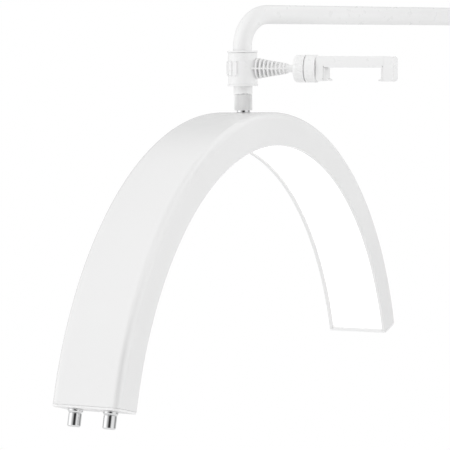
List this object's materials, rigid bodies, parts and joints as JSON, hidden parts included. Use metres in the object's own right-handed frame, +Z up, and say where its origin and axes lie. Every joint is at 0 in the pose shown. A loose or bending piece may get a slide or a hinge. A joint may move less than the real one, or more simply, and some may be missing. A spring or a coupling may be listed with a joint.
{
  "type": "floor lamp",
  "caption": "Floor lamp with a half-moon LED head hanging from a bent arm, a telescopic mast on a weighted base, and a jointed phone holder.",
  "frame": {"origin": "on the floor, on the axis of the mast", "axes": "+Z up along the mast; the lamp head's chord lies along X and its front faces -Y; the arm leaves the mast at 154 degrees from +X"},
  "size_m": [1.0775, 0.4738, 1.536],
  "materials": {
    "white_plastic": "satin moulded plastic",
    "housing_white": "satin moulded plastic",
    "white_paint": "smooth powder coat",
    "opal_acrylic": "opal, fine matt surface",
    "chrome": "bright polished plating",
    "black_rubber": "fine moulded rubber",
    "black_plastic": "fine grained plastic",
    "white_silicone": "soft matt silicone",
    "steel": "turned zinc plated steel",
    "aluminium": "mill finish",
    "led_board": "white solder mask",
    "driver_board": "green solder mask with components"
  },
  "bodies": {
    "stand": {"base_pad": "black_rubber", "base_plate": "white_paint", "pole_flange": "white_paint", "flange_screw_1": "steel", "flange_screw_2": "steel", "flange_screw_3": "steel", "lower_pole": "white_paint", "height_collar": "white_plastic", "height_bush": "black_plastic"},
    "height_knob": {"height_lock_knob": "black_plastic"},
    "mast": {"upper_pole": "chrome", "mast_foot_bush": "black_plastic"},
    "boom": {"boom_clamp_body": "white_plastic", "boom_clamp_cap": "white_plastic", "boom_cap_screw_1": "steel", "boom_cap_screw_2": "steel"},
    "reach_knob": {"reach_lock_knob": "black_plastic"},
    "swivel_knob": {"swivel_lock_knob": "black_plastic"},
    "arm": {"arm_tube": "white_paint", "arm_end_plug": "white_plastic", "tube_end_insert": "steel"},
    "neck_nut": {"knurled_nut": "chrome"},
    "head": {"housing_shell": "housing_white", "diffuser": "opal_acrylic", "led_tray": "aluminium", "led_board_left": "led_board", "led_board_right": "led_board", "saddle_block": "steel", "saddle_screw_1": "steel", "saddle_screw_2": "steel", "neck_stud": "chrome", "driver_board": "driver_board", "knob_end_cap": "white_plastic", "inlet_end_cap": "white_plastic", "dc_inlet": "black_plastic", "dimmer_pot": "black_plastic", "dimmer_bezel": "chrome", "colour_pot": "black_plastic", "colour_bezel": "chrome"},
    "dimmer": {"dimmer_knob": "chrome", "dimmer_shaft": "steel"},
    "colour": {"colour_knob": "chrome", "colour_shaft": "steel"},
    "clip": {"clip_sleeve": "white_plastic", "clip_top_ring": "white_plastic", "clip_bottom_ring": "white_plastic", "clip_liner": "white_silicone", "clip_grip": "white_plastic", "clip_arm": "white_plastic"},
    "ball_seat": {"ball_seat": "black_plastic"},
    "socket": {"socket_cup": "white_plastic"},
    "nut": {"holder_nut": "white_plastic"},
    "cradle": {"cradle_body": "white_plastic", "fixed_jaw_pad": "white_silicone"},
    "jaw": {"moving_jaw": "white_plastic", "moving_jaw_pad": "white_silicone", "jaw_spring": "steel"}
  },
  "joints": [
    {"name": "height_slide", "type": "slide", "parent": "stand", "child": "mast", "axis": [0, 0, 1], "range_m": [-0.35, 0.2]},
    {"name": "height_knob_turn", "type": "hinge", "parent": "stand", "child": "height_knob", "pos_m": [0, 0, 0.82], "axis": [0.9003, -0.4352, 0], "range_deg": [-180, 180]},
    {"name": "boom_swivel", "type": "hinge", "parent": "mast", "child": "boom", "pos_m": [0, 0, 1.5], "axis": [0, 0, 1], "range_deg": [-180, 180]},
    {"name": "reach_knob_turn", "type": "hinge", "parent": "boom", "child": "reach_knob", "pos_m": [0, 0, 1.5], "axis": [0, 0, 1], "range_deg": [-180, 180]},
    {"name": "swivel_knob_turn", "type": "hinge", "parent": "boom", "child": "swivel_knob", "pos_m": [0, 0, 1.446], "axis": [0.9003, -0.4352, 0], "range_deg": [-180, 180]},
    {"name": "reach_slide", "type": "slide", "parent": "boom", "child": "arm", "axis": [-0.9003, 0.4352, 0], "range_m": [-0.1, 0.08]},
    {"name": "neck_nut_turn", "type": "hinge", "parent": "arm", "child": "neck_nut", "pos_m": [-0.54019, 0.26114, 1.3865], "axis": [0, 0, 1], "range_deg": [-180, 180]},
    {"name": "head_swivel", "type": "hinge", "parent": "arm", "child": "head", "pos_m": [-0.54019, 0.26114, 1.3865], "axis": [0, 0, 1], "range_deg": [-170, 170]},
    {"name": "dimmer_turn", "type": "hinge", "parent": "head", "child": "dimmer", "pos_m": [-0.89781, 0.24064, 1.09333], "axis": [-0.2614, 0, -0.9652], "range_deg": [-150, 150]},
    {"name": "colour_turn", "type": "hinge", "parent": "head", "child": "colour", "pos_m": [-0.89781, 0.28164, 1.09333], "axis": [-0.2614, 0, -0.9652], "range_deg": [-150, 150]},
    {"name": "clip_swivel", "type": "hinge", "parent": "arm", "child": "clip", "pos_m": [-0.54019, 0.26114, 1.4375], "axis": [0, 0, 1], "range_deg": [-170, 20]},
    {"name": "holder_tilt", "type": "hinge", "parent": "clip", "child": "ball_seat", "pos_m": [-0.52836, 0.1881, 1.43608], "axis": [-0.9871, -0.1599, 0], "range_deg": [-12, 12]},
    {"name": "holder_swing", "type": "hinge", "parent": "ball_seat", "child": "socket", "pos_m": [-0.52836, 0.1881, 1.43608], "axis": [0.0031, -0.0189, 0.9998], "range_deg": [-12, 12]},
    {"name": "holder_nut_turn", "type": "hinge", "parent": "socket", "child": "nut", "pos_m": [-0.52836, 0.1881, 1.43608], "axis": [0.1599, -0.987, -0.0192], "range_deg": [-180, 180]},
    {"name": "cradle_roll", "type": "hinge", "parent": "socket", "child": "cradle", "pos_m": [-0.52836, 0.1881, 1.43608], "axis": [0.1599, -0.987, -0.0192], "range_deg": [-180, 180]},
    {"name": "jaw_slide", "type": "slide", "parent": "cradle", "child": "jaw", "axis": [0.1599, -0.987, -0.0192], "range_m": [0, 0.02], "stiffness_N_per_m": 150, "springref_m": -0.03}
  ]
}
